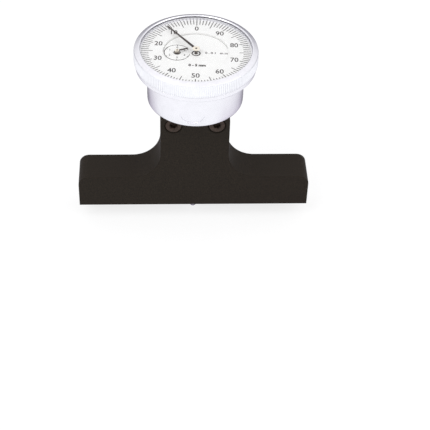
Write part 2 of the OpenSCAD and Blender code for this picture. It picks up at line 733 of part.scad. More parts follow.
module hairspring_stud() color([0.74, 0.60, 0.32]) at_counter()
  translate([hairspring_out + strip_t / 2 + stud_r, 0, 0]) tube(stud_r, 0, hairspring_z - 0.1, upper_plate_z);

// ---------- Hands ----------

// A hub: a collar under the hand, a sleeve up through it and a cap over it
module hand_hub(bore_r, cap_r, under_t, hand_z, cap_t) {
  difference() {
    union() {
      tube(bore_r + 0.45, 0, hand_z - under_t, hand_z);
      tube(bore_r + 0.25, 0, hand_z, hand_z + hand_t);
      tube(cap_r, 0, hand_z + hand_t, hand_z + hand_t + cap_t);
    }
    tube(bore_r + seat_gap, 0, hand_z - 2, hand_z + 2);
  }
}

// A tapered needle from a round boss, pointing to the dial's top before it is turned
module needle(length, boss, foot_w, tip_w, hole_r) {
  difference() {
    union() {
      cylinder(r = boss, h = hand_t);
      linear_extrude(hand_t) polygon([
        [-foot_w / 2, 0], [-tip_w / 2, length - tip_w / 2], [0, length],
        [tip_w / 2, length - tip_w / 2], [foot_w / 2, 0]]);
    }
    at_z(-1) cylinder(r = hole_r, h = hand_t + 2);
  }
}

module main_hand_hub() color([0.90, 0.84, 0.66]) hand_hub(0.45, main_hub_r, 0.4, main_hand_z, hub_cap_t);
module main_hand() color([0.16, 0.13, 0.12]) in_head() rotate([0, 0, main_hand_turn]) at_z(main_hand_z)
  needle(main_hand_len, 1.2, 1.1, 0.5, 0.45 + 0.25 + seat_gap);

module small_hand_hub() color([0.90, 0.84, 0.66]) at_counter() hand_hub(0.35, small_hub_r, 0.3, small_hand_z, 0.2);
module small_hand() color([0.16, 0.13, 0.12]) at_counter() rotate([0, 0, small_hand_turn]) at_z(small_hand_z)
  needle(small_hand_len, 0.8, 0.7, 0.7, 0.35 + 0.25 + seat_gap);

// ---------- Drawing ----------

base_plate();
clamp_screws();
stem();
stem_nut();
upper_bush();
lower_bush();
case();
movement_posts();
lower_plate();
plate_pillars();
upper_plate();
plate_screws();
arbor_bush();
pinion_bracket();
guide_rail();
bracket_screws();
hairspring_stud();
bezel_retaining_ring();
dial_centre();
bezel();
crystal();
crystal_spacer();
dial_ring();
dial_clip();
spindle();
spring_collar();
guide_pin();
contact_point();
contact_ball();
return_spring();
rack_arbor();
rack_pinion();
crown_gear();
intermediate_arbor();
drive_pinion();
intermediate_gear();
counter_pinion();
centre_arbor();
centre_pinion();
main_hand_hub();
main_hand();
counter_arbor();
counter_gear();
hairspring_collet();
hairspring();
small_hand_hub();
small_hand();
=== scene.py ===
"""Dial depth gauge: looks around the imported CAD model, in metres, +Z up, front towards -Y."""

import math

import bmesh
import bpy
from mathutils import Euler, Matrix, Vector


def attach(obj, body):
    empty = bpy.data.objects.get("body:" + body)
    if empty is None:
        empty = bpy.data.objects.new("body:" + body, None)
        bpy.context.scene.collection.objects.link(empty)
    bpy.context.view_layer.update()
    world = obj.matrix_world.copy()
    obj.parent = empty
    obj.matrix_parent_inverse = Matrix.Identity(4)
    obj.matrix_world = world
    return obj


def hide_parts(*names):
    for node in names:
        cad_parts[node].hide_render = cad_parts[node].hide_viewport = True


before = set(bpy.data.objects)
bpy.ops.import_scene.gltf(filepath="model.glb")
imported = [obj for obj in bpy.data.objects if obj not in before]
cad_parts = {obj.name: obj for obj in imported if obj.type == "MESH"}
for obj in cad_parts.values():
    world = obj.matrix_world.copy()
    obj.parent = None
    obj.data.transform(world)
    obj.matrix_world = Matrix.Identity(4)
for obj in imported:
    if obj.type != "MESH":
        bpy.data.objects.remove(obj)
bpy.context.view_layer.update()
MM = 0.001

# ---------------------------------------------------------------- sizes in mm, most as in the CAD

BASE_W, BASE_T, FLANGE_H, BASE_H = 101.5, 16.0, 16.2, 50.5
NECK_W, NECK_FILLET, FLANGE_CORNER, NECK_CORNER = 29.5, 12.5, 4.5, 3.2
BASE_EDGE = 0.45  # the rounding of the base's front and back edges
SEAT_R, SEAT_Z = 6.45, 51.3
STEM_R, STEM_LOW = 4.0, 13.0
SLOT_W, SLOT_DEPTH = 1.2, 20.0
SCREW_X, SCREW_Z, SCREW_R, SCREW_HEAD_R, SCREW_HEAD_H = 9.2, 44.9, 2.0, 3.5, 4.0
SCREW_LEN, SOCKET_AF, COUNTERBORE_R = 9.0, 3.0, 3.75
SCREW_SINK = 0.2  # of the screws' heads under the base's front face
HOLE_R = 3.25
PLAY = 0.02  # from a bore to what fits in it
BOSS_Z, CASE_Z, FLOOR_Z, FLARE_Z, RIM_Z = 52.6, 54.2, 55.7, 69.6, 70.9
LEDGE_Z, BEZEL_Z, TOP_Z, DIAL_Z, DIAL_LOW, CENTRE_Z = 72.8, 72.9, 79.8, 77.6, 76.8, 76.8
BOSS_R, CASE_R, CAVITY_R, RIM_R, SPIGOT_R, SPIGOT_IN_R = 7.8, 20.2, 18.7, 25.0, 24.1, 23.0
CASE_FOOT, CASE_TAPER, CASE_TAPER_H = 0.9, 0.1, 2.5  # the rounding and the taper of the case's foot
SPIGOT_Z, SHELF_Z = DIAL_LOW - 1.1, RIM_Z + 0.5
SPIGOT_GROOVE_LOW, SPIGOT_GROOVE_HIGH, SPIGOT_GROOVE = 73.55, 74.35, 0.6
FLAT_W, HEAD_TURN, FLAT_TURN = 10.6, -4.0, -1.0
FLAT_END, RUN_OUT = 2.0, 1.9  # the round end is 1 mm higher than the CAD's, with a slope round it
CUT_DEPTH = 3.0  # of the flat's cutter, outwards from the flat
BEZEL_R, BORE_R, GROOVE_R, WINDOW_R = 25.6, 24.15, 24.65, 22.9
BEZEL_GROOVE_LOW, BEZEL_GROOVE_HIGH, CLIP_H, LIP_H = 73.5, 74.4, 0.7, 0.3
KNURLS, KNURL_DEPTH, KNURL_END, KNURL_START, KNURL_FADE = 180, 0.22, 1.15, 0.4, 0.3
CHAMFER_W, CHAMFER_H = 1.9, 0.85
REACH, CONTACT_TOP, CONTACT_R, BALL_R = 7.4, 4.4, 2.75, 1.5
CONTACT_THREAD_R, CONTACT_THREAD_H = 1.25, 5.0
NOSE_Z, NOSE_MID_Z, NOSE_END_Z = 4.2 - REACH, 2.3 - REACH, 1.1 - REACH
COUNTER_X, CENTRE_R = 7.8, 13.65
MAIN_HOLE_R, SMALL_HOLE_R = 1.75, 1.25
HAND_Z, HAND_T = 78.9, 0.2
SMALL_HAND_Z = 77.7
HUB_COLLAR, HUB_SLEEVE = 0.43, 0.23  # walls of a hub below and in its hand
DIAL_TURN = -2.6  # the zero of the turning dial, in degrees

# ---------------------------------------------------------------- mesh helpers


def new_object(name, mesh, mat, body, replaces=()):
    """A piece that rides on body and stands for the nodes in replaces."""
    obj = bpy.data.objects.new(name, mesh)
    bpy.context.scene.collection.objects.link(obj)
    mesh.materials.clear()
    mesh.materials.append(mat)
    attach(obj, body)
    if replaces:
        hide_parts(*replaces)
    return obj


def smooth(mesh, angle):
    """Smooth shading, but for edges sharper than angle degrees."""
    for p in mesh.polygons:
        p.use_smooth = True
    mesh.set_sharp_from_angle(angle=math.radians(angle))


def mesh_from(name, verts, faces):
    """A mesh from points in mm."""
    mesh = bpy.data.meshes.new(name)
    mesh.from_pydata([Vector(v) * MM for v in verts], [], faces)
    bm = bmesh.new()
    bm.from_mesh(mesh)
    bmesh.ops.recalc_face_normals(bm, faces=bm.faces)
    bm.to_mesh(mesh)
    bm.free()
    return mesh


def fillet(points, steps):
    """Rounds the corners of a closed outline. A point is (a, b) or (a, b, radius)."""
    out = []
    n = len(points)
    for i, p in enumerate(points):
        radius = p[2] if len(p) > 2 else 0
        here = Vector(p[:2])
        if radius <= 0:
            out.append(tuple(here))
            continue
        a = Vector(points[i - 1][:2]) - here
        b = Vector(points[(i + 1) % n][:2]) - here
        half = a.angle(b) / 2
        back = min(radius / math.tan(half), 0.49 * min(a.length, b.length))
        r = back * math.tan(half)
        centre = here + (a.normalized() + b.normalized()).normalized() * (r / math.sin(half))
        p0, p1 = here + a.normalized() * back, here + b.normalized() * back
        a0 = math.atan2(p0.y - centre.y, p0.x - centre.x)
        a1 = math.atan2(p1.y - centre.y, p1.x - centre.x)
        sweep = (a1 - a0 + math.pi) % (2 * math.pi) - math.pi
        for k in range(steps + 1):
            t = a0 + sweep * k / steps
            out.append((centre.x + r * math.cos(t), centre.y + r * math.sin(t)))
    return out


def around(cx, cy, r, degrees):
    """The point at radius r from (cx, cy)."""
    t = math.radians(degrees)
    return cx + r * math.cos(t), cy + r * math.sin(t)


def arc(cx, cy, r, start, end, steps):
    return [around(cx, cy, r, start + (end - start) * k / steps) for k in range(steps + 1)]


def lathe(name, profile, segments, wave=None):
    """Turns a closed outline of (radius, height) about Z. wave(angle, r, z) moves a point's radius."""
    verts, faces, rows = [], [], []
    for r, z in profile:
        if r < 1e-6:
            rows.append([len(verts)] * segments)
            verts.append((0, 0, z))
            continue
        rows.append(list(range(len(verts), len(verts) + segments)))
        for k in range(segments):
            a = 2 * math.pi * k / segments
            rr = r + (wave(a, r, z) if wave else 0)
            verts.append((rr * math.cos(a), rr * math.sin(a), z))
    n = len(rows)
    for i in range(n):
        r0, r1 = rows[i], rows[(i + 1) % n]
        for k in range(segments):
            m = (k + 1) % segments
            ring = [r0[k], r0[m], r1[m], r1[k]]
            face = [v for j, v in enumerate(ring) if v not in ring[:j]]
            if len(face) > 2:
                faces.append(face)
    return mesh_from(name, verts, faces)


def prism(name, outline, low, high, edge=0.0, steps=3, axis="Z"):
    """A closed outline drawn out from low to high, its end edges rounded by edge."""
    pts = [Vector(p) for p in outline]
    area = sum(pts[i - 1].cross(pts[i]) for i in range(len(pts)))
    if area < 0:
        pts.reverse()
    n = len(pts)
    inward = []
    for i in range(n):
        a, b = (pts[i] - pts[i - 1]).normalized(), (pts[(i + 1) % n] - pts[i]).normalized()
        na, nb = Vector((-a.y, a.x)), Vector((-b.y, b.x))
        m = (na + nb).normalized()
        inward.append(m / max(m.dot(na), 0.3))  # 0.3 holds back a sharp corner
    layers = [(low, 0), (high, 0)]
    if edge > 0:
        quarter = [math.pi / 2 * k / steps for k in range(steps + 1)]
        lower = sorted((low + edge * (1 - math.sin(t)), edge * (1 - math.cos(t))) for t in quarter)
        layers = lower + [(low + high - h, inset) for h, inset in reversed(lower)]
    verts, faces = [], []
    for h, inset in layers:
        for p, d in zip(pts, inward):
            q = p + d * inset
            verts.append((q.x, q.y, h) if axis == "Z" else (q.x, h, q.y))
    for j in range(len(layers) - 1):
        for i in range(n):
            m = (i + 1) % n
            faces.append([j * n + i, j * n + m, (j + 1) * n + m, (j + 1) * n + i])
    faces.append(list(range(n)))
    faces.append(list(range((len(layers) - 1) * n, len(layers) * n)))
    return mesh_from(name, verts, faces)


def cut(mesh, cutters):
    """mesh less every cutter mesh."""
    obj = bpy.data.objects.new("work", mesh)
    bpy.context.scene.collection.objects.link(obj)
    tools = []
    for cutter in cutters:
        tool = bpy.data.objects.new("cutter", cutter)
        bpy.context.scene.collection.objects.link(tool)
        tools.append(tool)
        mod = obj.modifiers.new("cut", "BOOLEAN")
        mod.operation, mod.solver, mod.object = "DIFFERENCE", "EXACT", tool
    graph = bpy.context.evaluated_depsgraph_get()
    done = bpy.data.meshes.new_from_object(obj.evaluated_get(graph))
    for o in [obj] + tools:
        bpy.data.objects.remove(o)
    return done


def moved(mesh, matrix):
    mesh.transform(matrix)
    return mesh


def turn_z(degrees):
    return Matrix.Rotation(math.radians(degrees), 4, "Z")


def shift(x, y, z):
    return Matrix.Translation(Vector((x, y, z)) * MM)


def weighted(obj):
    """Shades obj by the normals of its large faces."""
    mod = obj.modifiers.new("normals", "WEIGHTED_NORMAL")
    mod.keep_sharp = True
    mod.weight = 100
    graph = bpy.context.evaluated_depsgraph_get()
    done = bpy.data.meshes.new_from_object(obj.evaluated_get(graph))
    obj.modifiers.clear()
    obj.data = done


# ---------------------------------------------------------------- materials


def material(name, color, metallic=0.0, roughness=0.5, spread=0.06, scale=900.0, rough_spread=0.08,
             grain=0.0, grain_scale=2500.0, stretch=(1, 1, 1), specular=0.5, alpha=1.0, edge=None):
    """A Principled material whose colour and roughness vary with noise, with a fine bump.
    edge is a metal's tint where it is seen at a grazing angle."""
    mat = bpy.data.materials.new(name)
    mat.use_nodes = True
    nt = mat.node_tree
    bsdf = nt.nodes["Principled BSDF"]
    bsdf.inputs["Metallic"].default_value = metallic
    bsdf.inputs["Specular IOR Level"].default_value = specular
    bsdf.inputs["Alpha"].default_value = alpha
    if edge:
        bsdf.inputs["Specular Tint"].default_value = (*edge, 1)
    where = nt.nodes.new("ShaderNodeTexCoord")
    mapping = nt.nodes.new("ShaderNodeMapping")
    mapping.inputs["Scale"].default_value = stretch
    nt.links.new(where.outputs["Object"], mapping.inputs["Vector"])

    def noise(noise_scale, detail):
        node = nt.nodes.new("ShaderNodeTexNoise")
        node.inputs["Scale"].default_value = noise_scale
        node.inputs["Detail"].default_value = detail
        nt.links.new(mapping.outputs["Vector"], node.inputs["Vector"])
        return node

    blotch = noise(scale, 4)
    ramp = nt.nodes.new("ShaderNodeValToRGB")
    ramp.color_ramp.elements[0].position = 0.32
    ramp.color_ramp.elements[1].position = 0.68
    dark = [c * (1 - spread) for c in color]
    light = [min(1.0, c * (1 + spread)) for c in color]
    ramp.color_ramp.elements[0].color = (*dark, 1)
    ramp.color_ramp.elements[1].color = (*light, 1)
    nt.links.new(blotch.outputs["Fac"], ramp.inputs["Fac"])
    nt.links.new(ramp.outputs["Color"], bsdf.inputs["Base Color"])
    rough = nt.nodes.new("ShaderNodeMapRange")
    rough.inputs["To Min"].default_value = max(0.02, roughness - rough_spread)
    rough.inputs["To Max"].default_value = min(1.0, roughness + rough_spread)
    nt.links.new(blotch.outputs["Fac"], rough.inputs["Value"])
    nt.links.new(rough.outputs["Result"], bsdf.inputs["Roughness"])
    if grain > 0:
        fine = noise(grain_scale, 3)
        bump = nt.nodes.new("ShaderNodeBump")
        bump.inputs["Strength"].default_value = grain
        bump.inputs["Distance"].default_value = 0.00005
        nt.links.new(fine.outputs["Fac"], bump.inputs["Height"])
        nt.links.new(bump.outputs["Normal"], bsdf.inputs["Normal"])
    return mat


CHROME_EDGE = (0.46, 0.44, 0.49)

black = material("base_black", (0.0190, 0.0142, 0.0095), roughness=0.66, spread=0.45, scale=2100,
                 grain=0.4, grain_scale=5200, specular=0.15)
screw = material("screw_dark", (0.050, 0.032, 0.023), metallic=0.5, roughness=0.55, spread=0.5,
                 scale=1500, grain=0.4, grain_scale=3000)
chrome = material("satin_chrome", (0.87, 0.87, 0.90), metallic=1.0, roughness=0.22, spread=0.02,
                  scale=300, rough_spread=0.04, grain=0.05, grain_scale=4000, edge=CHROME_EDGE)
knurled = material("knurled_chrome", (0.94, 0.95, 0.97), metallic=1.0, roughness=0.32, spread=0.03,
                   scale=700, rough_spread=0.05, grain=0.04, grain_scale=5000, edge=CHROME_EDGE)
milled = material("milled_chrome", (0.86, 0.86, 0.90), metallic=1.0, roughness=0.6, spread=0.03,
                  scale=700, edge=CHROME_EDGE)
steel = material("ground_steel", (0.60, 0.60, 0.62), metallic=1.0, roughness=0.3, spread=0.05,
                 grain=0.1, stretch=(1, 1, 14))
polished = material("polished_steel", (0.78, 0.78, 0.80), metallic=1.0, roughness=0.12, spread=0.02,
                    rough_spread=0.03, edge=(0.14, 0.14, 0.16))
spring = material("spring_steel", (0.35, 0.36, 0.40), metallic=1.0, roughness=0.3, spread=0.08,
                  grain=0.1)
brass = material("movement_brass", (0.74, 0.56, 0.28), metallic=1.0, roughness=0.3, spread=0.06,
                 grain=0.12, stretch=(1, 14, 1))
bronze = material("bush_bronze", (0.56, 0.36, 0.18), metallic=1.0, roughness=0.34, spread=0.08,
                  grain=0.1)
enamel = material("dial_enamel", (0.965, 0.965, 0.95), roughness=0.5, spread=0.012, scale=500,
                  grain=0.05, grain_scale=6000, specular=0.3)
# dark ink for the dial's print, also used for painted shade: rings round the dial's holes and an arc
# at the seam
ink_and_shade = material("dial_ink_and_painted_shade", (0.030, 0.020, 0.018), roughness=0.6, spread=0.3, scale=3000, specular=0.2)
satin = material("satin_aluminium", (0.84, 0.84, 0.88), metallic=1.0, roughness=0.4, spread=0.03,
                 grain=0.06)
hub = material("hub_brass", (0.97, 0.90, 0.76), metallic=0.75, roughness=0.35, spread=0.04)
pivot = material("pivot_dark", (0.075, 0.055, 0.045), metallic=0.6, roughness=0.5, spread=0.08)
needle = material("hand_lacquer", (0.022, 0.009, 0.006), roughness=0.45, spread=0.25, scale=2500,
                  specular=0.12)
# painted shade: a lavender grey for the slot under the bezel's lip, standing in for the shadow line
# there
lip_shade = material("painted_lip_shade", (0.80, 0.77, 0.86), roughness=0.5, spread=0.04, specular=0.3)
clear = material("crystal_clear", (0.97, 0.98, 1.0), roughness=0.03, spread=0.005,
                 rough_spread=0.01, alpha=0.03)
clear.surface_render_method = "BLENDED"

nodes_in = {
    steel: ["stem", "pinion_bracket", "guide_rail", "spindle", "spring_collar", "guide_pin",
            "rack_arbor", "intermediate_arbor", "drive_pinion", "centre_pinion"],
    brass: ["movement_posts", "lower_plate", "plate_pillars", "upper_plate", "hairspring_stud",
            "rack_pinion", "crown_gear", "intermediate_gear", "counter_pinion", "counter_gear",
            "hairspring_collet"],
    bronze: ["upper_bush", "lower_bush", "arbor_bush"],
    spring: ["hairspring", "bezel_retaining_ring", "dial_clip", "return_spring"],
    screw: ["plate_screws", "bracket_screws"],
    enamel: ["dial_centre", "dial_ring"],
    pivot: ["centre_arbor", "counter_arbor"],
    needle: ["main_hand", "small_hand"],
    satin: ["crystal_spacer"],
    polished: ["contact_ball"],
    clear: ["crystal"],
}
for mat, nodes in nodes_in.items():
    for node in nodes:
        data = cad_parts[node].data
        data.materials.clear()
        data.materials.append(mat)

# ---------------------------------------------------------------- base


def base_outline():
    right = [(BASE_W / 2, 0)]
    right += arc(BASE_W / 2 - FLANGE_CORNER, FLANGE_H - FLANGE_CORNER, FLANGE_CORNER, 0, 90, 10)
    right += arc(NECK_W / 2 + NECK_FILLET, FLANGE_H + NECK_FILLET, NECK_FILLET, 270, 180, 20)
    right += arc(NECK_W / 2 - NECK_CORNER, BASE_H - NECK_CORNER, NECK_CORNER, 0, 90, 8)
    return right + [(-x, z) for x, z in reversed(right)]


def disc(r, z0, z1, segments=64):
    return lathe("disc", [(0, z0), (r, z0), (r, z1), (0, z1)], segments)


def towards_back(mesh, x, z):
    """A shape drawn along +Z from 0, laid along +Y from the base's front face."""
    return moved(mesh, shift(x, -BASE_T / 2, z) @ Matrix.Rotation(math.radians(-90), 4, "X"))


def block(x0, x1, y0, y1, z0, z1):
    return prism("block", [(x0, y0), (x1, y0), (x1, y1), (x0, y1)], z0, z1)


def bored(r, flare, z0, z1):
    """A cutter for a bore from z0 up to z1, with a chamfer of flare at z0."""
    return lathe("bore", [(0, z0 - 1), (r + flare + 1, z0 - 1), (r, z0 + flare), (r, z1), (0, z1)], 72)


def sawn(low):
    """The saw cut's cutter, from low up through the seat."""
    return block(-NECK_W, NECK_W, -SLOT_W / 2, SLOT_W / 2, low, SEAT_Z + 1)


base = prism("base_body", base_outline(), -BASE_T / 2, BASE_T / 2, edge=BASE_EDGE, axis="Y")
cutters = [disc(STEM_R + PLAY, STEM_LOW, SEAT_Z + 1), bored(HOLE_R, 0.35, 0, STEM_LOW + 1),
           sawn(BASE_H - SLOT_DEPTH)]
for side in (-1, 1):
    counterbore = bored(COUNTERBORE_R, 0.3, 0, SCREW_HEAD_H + SCREW_SINK)
    hole = disc(SCREW_R + PLAY, 3, SCREW_HEAD_H + SCREW_LEN + 1, 40)
    cutters += [towards_back(cutter, side * SCREW_X, SCREW_Z) for cutter in (counterbore, hole)]
base_body = cut(base, cutters)
smooth(base_body, 30)
weighted(new_object("base_body", base_body, black, "gauge_frame", ["base_plate"]))

seat_outline = [(0, BASE_H - 1), (SEAT_R, BASE_H - 1), (SEAT_R, SEAT_Z, 0.25), (0, SEAT_Z)]
seat = lathe("seat", fillet(seat_outline, 3), 96)
seat_body = cut(seat, [disc(STEM_R + PLAY, BASE_H - 2, SEAT_Z + 1), sawn(BASE_H - 3)])
smooth(seat_body, 30)
new_object("base_seat", seat_body, black, "gauge_frame")

screw_end = SCREW_HEAD_H + SCREW_LEN
head_outline = [(0, 0), (SCREW_HEAD_R, 0, 0.35), (SCREW_HEAD_R, SCREW_HEAD_H, 0.1),
                (SCREW_R, SCREW_HEAD_H), (SCREW_R, screw_end, 0.3), (0, screw_end)]
socket_outline = arc(0, 0, SOCKET_AF / math.sqrt(3), 12, 312, 5)
sink_outline = [(0, -1), (SOCKET_AF / 2 + 1.6, -1), (SOCKET_AF / 2, 0.45), (0, 0.45)]
for side, tag in ((-1, "left"), (1, "right")):
    head = lathe("head", fillet(head_outline, 3), 72)
    socket = prism("socket", socket_outline, -1, SCREW_HEAD_H / 2)
    mesh = cut(head, [socket, lathe("sink", sink_outline, 48)])
    smooth(mesh, 30)
    towards_back(mesh, side * SCREW_X, SCREW_Z)
    moved(mesh, shift(0, SCREW_SINK, 0))
    name = "clamp_screw_" + tag
    new_object(name, mesh, screw, "gauge_frame", ["clamp_screws"])

# ---------------------------------------------------------------- stem nut and case

nut_outline = [(STEM_R + PLAY, SEAT_Z), (SEAT_R, SEAT_Z, 0.2), (SEAT_R, BOSS_Z, 0.2),
               (STEM_R + PLAY, BOSS_Z)]
nut = lathe("stem_collar", fillet(nut_outline, 3), 120)
smooth(nut, 40)
new_object("stem_collar", nut, chrome, "gauge_frame", ["stem_nut"])

boss_flare = [(BOSS_R - (BOSS_R - SEAT_R) * math.cos(math.radians(t)),
               BOSS_Z + (CASE_Z - BOSS_Z) * math.sin(math.radians(t))) for t in range(10, 91, 10)]
groove_r = SPIGOT_R - SPIGOT_GROOVE
case_outline = [
    (STEM_R + PLAY, BOSS_Z), (SEAT_R, BOSS_Z), *boss_flare, (CASE_R - CASE_TAPER, CASE_Z, CASE_FOOT),
    (CASE_R, CASE_Z + CASE_TAPER_H), (CASE_R, FLARE_Z, 0.35), (RIM_R, RIM_Z, 0.3),
    (RIM_R, LEDGE_Z, 0.2), (SPIGOT_R, LEDGE_Z), (SPIGOT_R, SPIGOT_GROOVE_LOW),
    (groove_r, SPIGOT_GROOVE_LOW), (groove_r, SPIGOT_GROOVE_HIGH), (SPIGOT_R, SPIGOT_GROOVE_HIGH),
    (SPIGOT_R, SPIGOT_Z), (SPIGOT_IN_R, SPIGOT_Z), (SPIGOT_IN_R, SHELF_Z), (CAVITY_R, SHELF_Z),
    (CAVITY_R, FLOOR_Z), (STEM_R + PLAY, FLOOR_Z)]
case = lathe("case_shell", fillet(case_outline, 5), 256)

flat_y = -math.sqrt(CASE_R ** 2 - (FLAT_W / 2) ** 2)
cutter_r = FLAT_W / 2 + 0.05
arc_z = CASE_Z + FLAT_END + cutter_r
cutter_outline = arc(0, arc_z, cutter_r, 180, 360, 60)
cutter_outline += [(cutter_r, FLARE_Z - 0.02), (-cutter_r, FLARE_Z - 0.02)]
flat_cutter = prism("flat_cutter", cutter_outline, flat_y - CUT_DEPTH, flat_y, axis="Y")
wider = 1 + RUN_OUT / cutter_r
for v in flat_cutter.vertices:  # a sloped run-out at the flat's round end
    if v.co.y < (flat_y - CUT_DEPTH / 2) * MM and v.co.z < arc_z * MM:
        v.co.x *= wider
        v.co.z = arc_z * MM + (v.co.z - arc_z * MM) * wider
case = cut(case, [moved(flat_cutter, turn_z(FLAT_TURN))])
smooth(case, 62)
outwards = turn_z(FLAT_TURN).to_3x3() @ Vector((0, -1, 0))
for edge in case.edges:  # the flat keeps a crisp outline
    ends = [case.vertices[i].co.dot(outwards) + flat_y * MM for i in edge.vertices]
    if max(abs(end) for end in ends) < 0.001 * MM:
        edge.use_edge_sharp = True
shell = new_object("case_shell", case, chrome, "gauge_frame", ["case"])
case.materials.append(milled)
for face in case.polygons:  # the run-out is a little rougher
    before_flat = face.center.dot(outwards) + flat_y * MM > 0
    in_case = math.hypot(face.center.x, face.center.y) < (CASE_R - 0.02) * MM
    if before_flat and in_case and face.normal.z > 0.2 and face.center.z < arc_z * MM:
        face.material_index = 1
case.transform(turn_z(HEAD_TURN))
weighted(shell)

# ---------------------------------------------------------------- bezel with its knurl

band_r = BEZEL_R - KNURL_DEPTH
knurl_low, knurl_high = BEZEL_Z + KNURL_START, TOP_Z - KNURL_END
lip_z = TOP_Z - LIP_H


def knurl_wave(angle, r, z):
    if r < band_r - 0.01 or not knurl_low - 0.01 <= z <= knurl_high + 0.01:
        return 0.0
    ends = min(1.0, (z - knurl_low) / KNURL_FADE, (knurl_high - z) / KNURL_FADE)
    phase = (angle * KNURLS / (2 * math.pi)) % 1.0
    return KNURL_DEPTH * max(0.0, ends) * (0.5 - 0.5 * math.cos(2 * math.pi * phase))


full_low, full_high = knurl_low + KNURL_FADE, knurl_high - KNURL_FADE
heights = [knurl_low, knurl_low + KNURL_FADE / 2, full_low]
heights += [full_low + (full_high - full_low) * k / 6 for k in range(1, 7)]
heights += [knurl_high - KNURL_FADE / 2, knurl_high]
outer = [(band_r - 0.25, BEZEL_Z), (band_r, BEZEL_Z + 0.25)] + [(band_r, z) for z in heights]
outer += fillet([(band_r, TOP_Z - 1), (band_r, TOP_Z - CHAMFER_H, 0.25),
                 (band_r - CHAMFER_W, TOP_Z, 0.15), (WINDOW_R + 0.25, TOP_Z, 0.1),
                 (WINDOW_R, lip_z), (30, 70)], 4)[1:-2]  # less its first and last two points
clip_z = DIAL_LOW - CLIP_H
inner = [(WINDOW_R, lip_z), (BORE_R, lip_z), (BORE_R, DIAL_LOW), (GROOVE_R, DIAL_LOW),
         (GROOVE_R, clip_z), (BORE_R, clip_z), (BORE_R, BEZEL_GROOVE_HIGH),
         (GROOVE_R, BEZEL_GROOVE_HIGH), (GROOVE_R, BEZEL_GROOVE_LOW), (BORE_R, BEZEL_GROOVE_LOW),
         (BORE_R, BEZEL_Z)]
ring = lathe("bezel_ring", outer + inner, KNURLS * 8, knurl_wave)
smooth(ring, 40)
new_object("bezel_ring", ring, knurled, "bezel", ["bezel"])
ring.materials.append(lip_shade)
for face in ring.polygons:  # painted shade: the slot's walls under the lip take a lavender grey that stands in for the shadow line there
    height, reach = face.center.z / MM, math.hypot(face.center.x, face.center.y) / MM
    if DIAL_Z < height < TOP_Z - 0.25 and WINDOW_R + 0.1 < reach < BORE_R + 0.1:
        face.material_index = 1

# ---------------------------------------------------------------- contact point and hubs

thread_z = CONTACT_TOP + CONTACT_THREAD_H
contact_outline = [(0, thread_z), (CONTACT_THREAD_R, thread_z, 0.2), (CONTACT_THREAD_R, CONTACT_TOP),
                   (CONTACT_R, CONTACT_TOP, 0.3), (CONTACT_R, NOSE_Z, 0.6),
                   (0.86 * CONTACT_R, NOSE_MID_Z, 0.5), (BALL_R - 0.03, NOSE_END_Z), (0, NOSE_END_Z)]
tip = lathe("contact_body", fillet(contact_outline, 4), 96)
smooth(tip, 35)
new_object("contact_body", tip, polished, "plunger", ["contact_point"])


def hub_outline(bore, cap, under, z_hand, cap_t):
    """The collar under a hand, the sleeve up through it and the cap on it."""
    z0, z1, z2 = z_hand - under, z_hand + HAND_T, z_hand + HAND_T + cap_t
    collar, sleeve = bore + HUB_COLLAR, bore + HUB_SLEEVE
    return fillet([(bore, z0), (collar, z0, 0.06), (collar, z_hand), (sleeve, z_hand), (sleeve, z1),
                   (cap, z1, 0.05), (cap, z2, 0.1), (bore, z2, 0.05)], 3)


main_hub = lathe("main_hub", hub_outline(bore=0.47, cap=1.5, under=0.4, z_hand=HAND_Z, cap_t=0.25), 72)
smooth(main_hub, 35)
new_object("main_hub", main_hub, hub, "main_hand", ["main_hand_hub"])
small_outline = hub_outline(bore=0.37, cap=0.85, under=0.3, z_hand=SMALL_HAND_Z, cap_t=0.2)
small_hub = lathe("small_hub", small_outline, 60)
small_hub.transform(turn_z(HEAD_TURN) @ shift(-COUNTER_X, 0, 0))
smooth(small_hub, 35)
new_object("small_hub", small_hub, hub, "counter_hand", ["small_hand_hub"])


def washer(name, r0, r1, low, high, segments):
    """A flat ring of dial enamel, on the frame's body."""
    mesh = lathe(name, [(r0, low), (r1, low), (r1, high), (r0, high)], segments)
    smooth(mesh, 30)
    new_object(name, mesh, enamel, "gauge_frame")


washer("dial_lip", CENTRE_R, CENTRE_R + 0.4, CENTRE_Z - 0.1, CENTRE_Z - 0.02, 160)
washer("dial_eyelet", 0.75, MAIN_HOLE_R - 0.05, CENTRE_Z - 0.105, CENTRE_Z - 0.005, 72)

# ---------------------------------------------------------------- printing and painted shade on the dial

INK_T = 0.012
INK_UNDER = 0.01  # of the ink inside what it is printed on
TICK_OUT, TICK_TEN, TICK_FIVE, TICK_ONE = 22.7, 18.7, 17.8, 19.5
FIGURE_R, FIGURE_SIZE = 16.4, 4.0
SMALL_R, SMALL_FIGURE_R, SMALL_FIGURE_SIZE = 5.3, 3.5, 1.7


